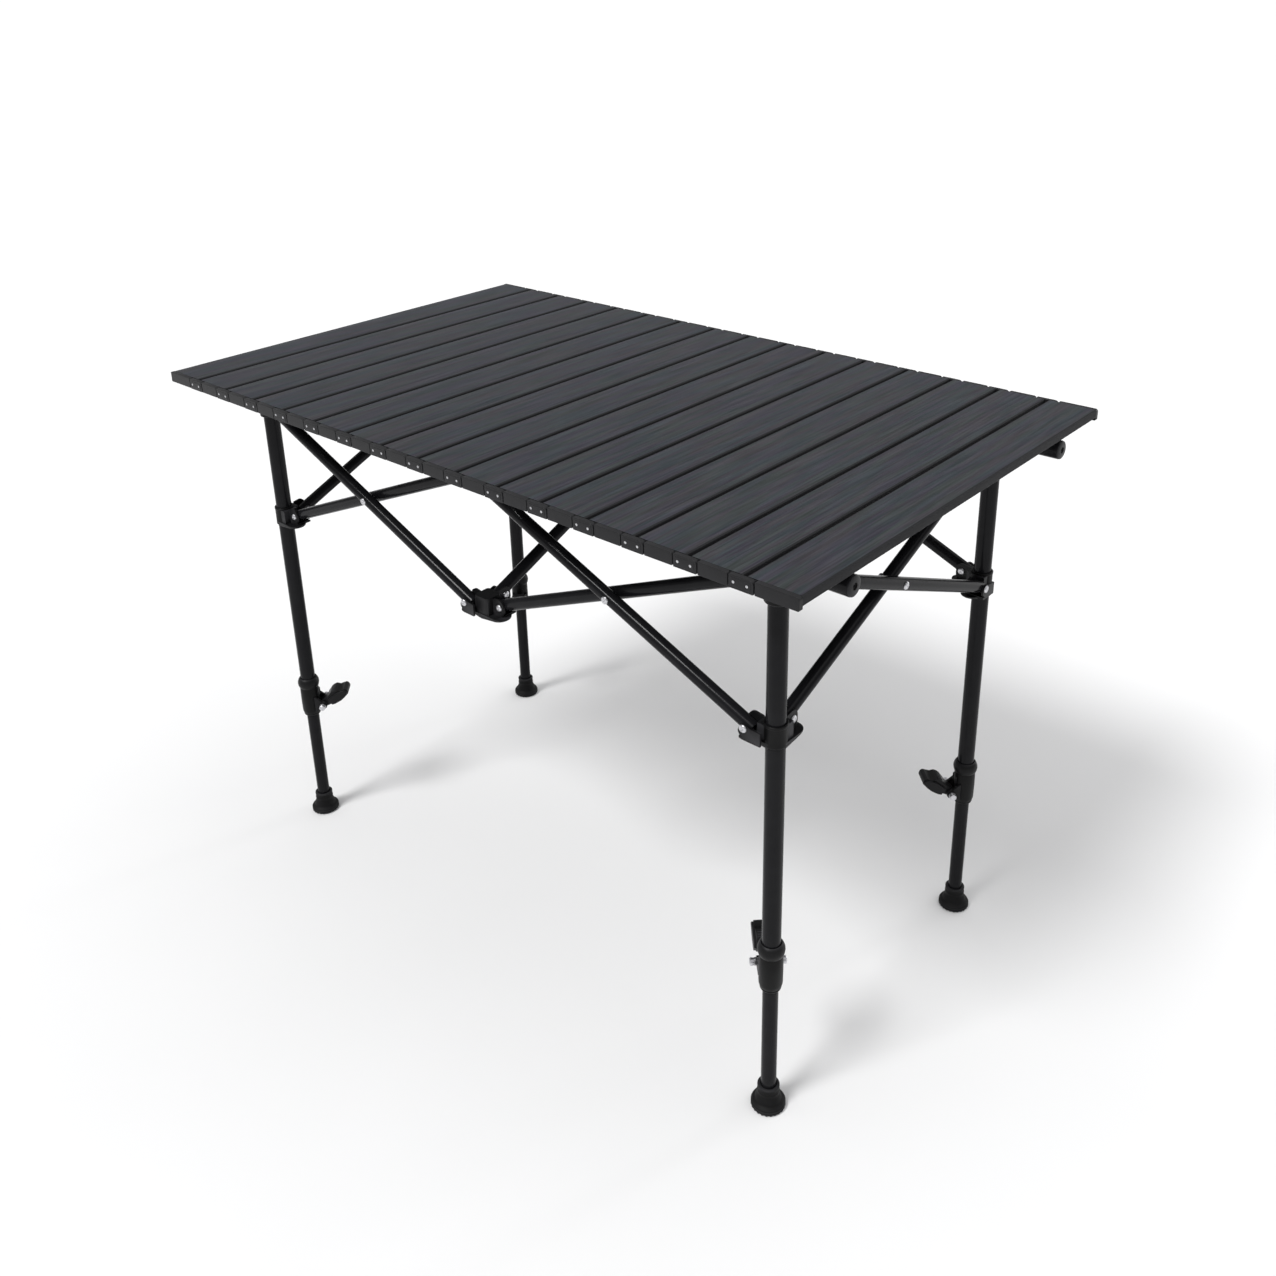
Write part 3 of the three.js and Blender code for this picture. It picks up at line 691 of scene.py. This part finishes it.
def lever_shapes():
    """Lever reaching along +X from its pin: root, grip, and side cheeks."""
    root = prism([*arc(0, 0, 4.7, 100, 260, 8), (14, -7.2), (14, 6.0)], -6.9, 6.9)
    hull = [(10.5, -6.8), (15, -8.0), (24, -8.6), (31, -7.4), *arc(35, -1.4, 5.2, -48, 62, 7),
            (33.2, 3.4), (31.2, 4.2), (29.4, 6.6), (27.2, 8.9), (23, 9.6), (19, 9.2), (15, 7.4),
            (10.5, 5.8)]
    core = prism(hull, -10.5, 10.5)
    cheek = prism([(11.5, -5.6), (16, -7.0), (24, -7.5), (31, -6.2),
                   *arc(34.5, -1.4, 4.4, -40, 50, 5), (27, 4.8), (16, 4.2), (11.5, 3.4)],
                  10.2, 13)
    grips = [block(x, x + 1.3, -8.6, 8.6, 7.2, 10.0) for x in (20.2, 22.6, 25.0)]
    return [root, core, cheek, placed(cheek, mirror("Y")), *grips]


def build_leg(station):
    """Both tubes, foot, collar, pin and lever of one leg."""
    x, y = STATIONS[station]
    here = at(x, y, 0)
    # The lever points diagonally inwards.
    heading = math.degrees(math.atan2(-math.copysign(1, y), -math.copysign(1, x)))
    facing = here @ spin(heading, "Z")
    leg = f"leg_{station}"
    upper = placed(pipe(UPPER_R, UPPER_R - 1.1, COLLAR_LOW + 12.4, PIVOT_TOP + 12, 48), here)
    piece(f"tube_upper_{station}", [upper], TUBE, leg, replaces=[f"leg_upper_{station}"],
          angle=30)
    lower = placed(pipe(LOWER_R, LOWER_R - 1.2, 8.1, TUBE_TOP, 48), here)
    piece(f"tube_lower_{station}", [lower], TUBE, f"leg_foot_{station}",
          replaces=[f"leg_lower_{station}"], angle=30)
    foot = turned([
        (0, 0), (15.6, 0), (16.9, 0.5), (17.9, 1.8), (18, 2.6), (17.5, 3.0), (17.5, 3.4), (18, 3.8),
        (18, 5.2), (17.5, 5.6), (17.4, 6.0), (17.1, 6.8), (15.6, 8.0), (14.2, 8.6), (13.5, 10.2),
        (12.9, 12.8), (12.0, 14.8), (11.5, 16.0), (11.3, 19.0), (11.6, 19.6), (11.6, 20.8),
        (11.3, 21.4), (11.2, 25.6), (11.5, 26.2), (11.4, 27.4), (10.7, 28.0), (8.6, 28.0),
        (8.1, 27.4), (8.1, 7.9), (0, 7.9)], 64)
    rib = block(17.1, 18.0, -0.9, 0.9, 0.9, 2.5)
    ribs = [placed(rib, here @ spin(360 / FOOT_RIBS * k, "Z")) for k in range(FOOT_RIBS)]
    piece(f"foot_moulding_{station}", [placed(foot, here), *ribs], RUBBER,
          f"leg_foot_{station}", replaces=[f"foot_{station}"], angle=50)
    barrel, lugs = collar_shapes()
    piece(f"collar_{station}", [placed(barrel, facing)], PLASTIC, leg,
          replaces=[f"lock_collar_{station}"], angle=50)
    piece(f"collar_lugs_{station}", [placed(s, facing) for s in lugs], PLASTIC, leg,
          bevel=0.6)
    piece(f"collar_pin_{station}", [placed(collar_pin(), facing)], PIN, leg, angle=40)
    tilt = facing @ at(LEVER_OUT, 0, LEVER_Z) @ spin(-LEVER_RISE, "Y")
    piece(f"lever_{station}", [placed(s, tilt) for s in lever_shapes()], PLASTIC,
          f"lever_{station}", bevel=0.8, replaces=[f"lock_lever_{station}"])


for leg_station in LEGS:
    build_leg(leg_station)

# ---- scissor bars -------------------------------------------------------------------------------
SPAN = LEG_X - REACH - REACH_MID
DROP = PIVOT_TOP - PIVOT_LOW
BAR_L = math.hypot(SPAN, DROP)
LEAN = math.degrees(math.atan2(SPAN, DROP))


def bar_tube():
    """Tube with rolled ends and a plug in each end."""
    end = BAR_L / 2 + 6
    tube = pipe(BAR_R, BAR_R - 1.2, -end, end, 40, 0.5)
    plugs = [turned([(0, z), (5.6, z), (5.6, z - s * 4), (0, z - s * 4)], 24)
             for s, z in ((1, end - 0.5), (-1, 0.5 - end))]
    return [tube, *plugs]


def build_bars(unit, a, b, direction, side):
    ax, ay = STATIONS[a]
    bx, by = STATIONS[b]
    shift = (reach_of(a, direction) - reach_of(b, direction)) / 2
    for falling in (True, False):
        sideways = side if falling else -side
        mid = [(ax + bx) / 2, (ay + by) / 2]
        along = 0 if direction == "x" else 1
        mid[along] += shift
        mid[1 - along] += sideways * LATERAL
        place = at(*mid, (PIVOT_TOP + PIVOT_LOW) / 2)
        if direction == "y":
            place = place @ spin(90, "Z")
        place = place @ spin(-LEAN if falling else LEAN, "Y")
        name = f"bar_{unit}_{'falling' if falling else 'rising'}"
        tube = [placed(s, place) for s in bar_tube()]
        piece("tube_" + name, tube, TUBE, name, replaces=[name], angle=35)
        if falling:
            local = sideways if direction == "x" else -sideways
            toward = spin(-90, "X") if local < 0 else spin(90, "X")
            far = 2 * LATERAL + BAR_R + 0.3
            shank = rod(2.0, -BAR_R, far, 20)
            near_head = placed(rivet_head(), at(0, 0, -BAR_R + 0.1) @ spin(180, "X"))
            far_head = placed(rivet_head(), at(0, 0, far))
            rivet = [placed(s, place @ toward) for s in (shank, near_head, far_head)]
            piece("rivet_" + name, rivet, PIN, name, angle=40)


for unit_row in UNITS:
    build_bars(*unit_row)


# ---- floor and light ----------------------------------------------------------------------------
def pale_floor():
    g = Graph("floor_pale")
    cloud = g.noise(g.coord.outputs["Object"], 1.2, 3.0, 0.5)
    color = g.ramp(cloud, (0.80, 0.80, 0.80), (0.83, 0.83, 0.83), 0.3, 0.7)
    return g.finish(color, g.span(cloud, 0.75, 0.85), Specular_IOR_Level=0.2)


FLOOR = 300.0               # half width in metres, so that its edge is never seen
# Brightness of the sky at the sine of the height above the horizon.
SKY = ((0.0, 0.85), (0.11, 0.24), (0.42, 0.27), (0.62, 0.58), (0.85, 0.98))
floor_mesh = bpy.data.meshes.new("floor")
corners = [(-FLOOR, -FLOOR, 0), (FLOOR, -FLOOR, 0), (FLOOR, FLOOR, 0), (-FLOOR, FLOOR, 0)]
floor_mesh.from_pydata(corners, [], [(0, 1, 2, 3)])
floor_mesh.materials.append(pale_floor())
floor = bpy.data.objects.new("floor", floor_mesh)
bpy.context.scene.collection.objects.link(floor)

world = bpy.data.worlds.new("studio")
bpy.context.scene.world = world
world.use_nodes = True
sky = world.node_tree
coordinate = sky.nodes.new("ShaderNodeTexCoord")
height = sky.nodes.new("ShaderNodeSeparateXYZ")
sky.links.new(coordinate.outputs["Generated"], height.inputs["Vector"])
shade = sky.nodes.new("ShaderNodeValToRGB")
sky.links.new(height.outputs["Z"], shade.inputs["Fac"])
for _ in SKY[2:]:
    shade.color_ramp.elements.new(0.5)
for stop, (place, grey) in zip(shade.color_ramp.elements, SKY):
    stop.position = place
    stop.color = (grey, grey, grey * 1.01, 1)
sky.links.new(shade.outputs["Color"], sky.nodes["Background"].inputs["Color"])
sky.nodes["Background"].inputs["Strength"].default_value = 1.0


def distant_light(name, toward, strength, angle):
    """Soft light from far away. toward points from the table to the light."""
    data = bpy.data.lights.new(name, "SUN")
    data.energy = strength
    data.angle = math.radians(angle)
    light = bpy.data.objects.new(name, data)
    light.rotation_mode = "QUATERNION"
    light.rotation_quaternion = Vector(toward).to_track_quat("Z", "Y")
    bpy.context.scene.collection.objects.link(light)


distant_light("key", (-0.12, -0.59, 0.80), 2.1, 18)
distant_light("fill", (0.35, 0.45, 0.82), 0.35, 60)
distant_light("rim", (0.29, 0.94, 0.20), 0.35, 8)
bpy.context.scene.view_settings.view_transform = "Standard"
